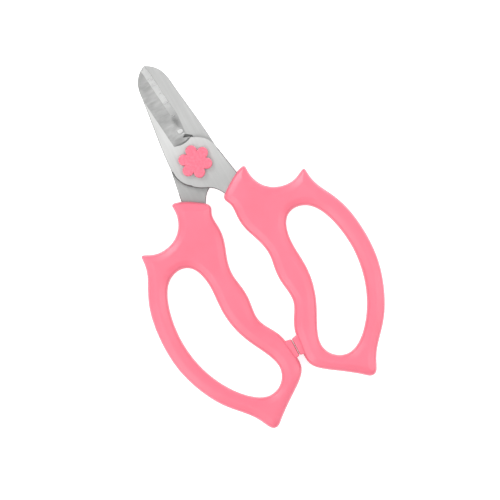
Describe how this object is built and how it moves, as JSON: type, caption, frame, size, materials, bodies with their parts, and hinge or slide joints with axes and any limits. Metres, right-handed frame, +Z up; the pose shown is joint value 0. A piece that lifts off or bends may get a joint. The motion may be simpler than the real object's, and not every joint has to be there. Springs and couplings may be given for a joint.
{
  "type": "floral snips",
  "caption": "Compact floral scissors with ground steel blades, moulded finger-loop handles with stop lugs and a flower-shaped cap over the pivot nut.",
  "frame": {"origin": "centre of the footprint of the closed snips, in the plane they lie on", "axes": "+Y from the handles to the blade tips, +Z up from the surface through the flower cap, +X towards the front blade's handle"},
  "size_m": [0.1036, 0.17, 0.0114],
  "materials": {
    "blade_steel": "satin ground faces with a polished edge bevel",
    "handle_plastic": "semi-gloss moulded pink",
    "cap_plastic": "gloss moulded pink",
    "plated_steel": "bright plated",
    "nylon": "matt natural"
  },
  "bodies": {
    "rear_half": {"rear_blade": "blade_steel", "left_handle": "handle_plastic", "pivot_screw": "plated_steel", "thrust_washer": "nylon", "spring_washer": "plated_steel", "pivot_nut": "plated_steel", "flower_cap": "cap_plastic"},
    "front_half": {"front_blade": "blade_steel", "right_handle": "handle_plastic"}
  },
  "joints": [
    {"name": "blades_open", "type": "hinge", "parent": "rear_half", "child": "front_half", "pos_m": [0, 0.0364, 0.0055], "axis": [0, 0, 1], "range_deg": [0, 40]}
  ]
}
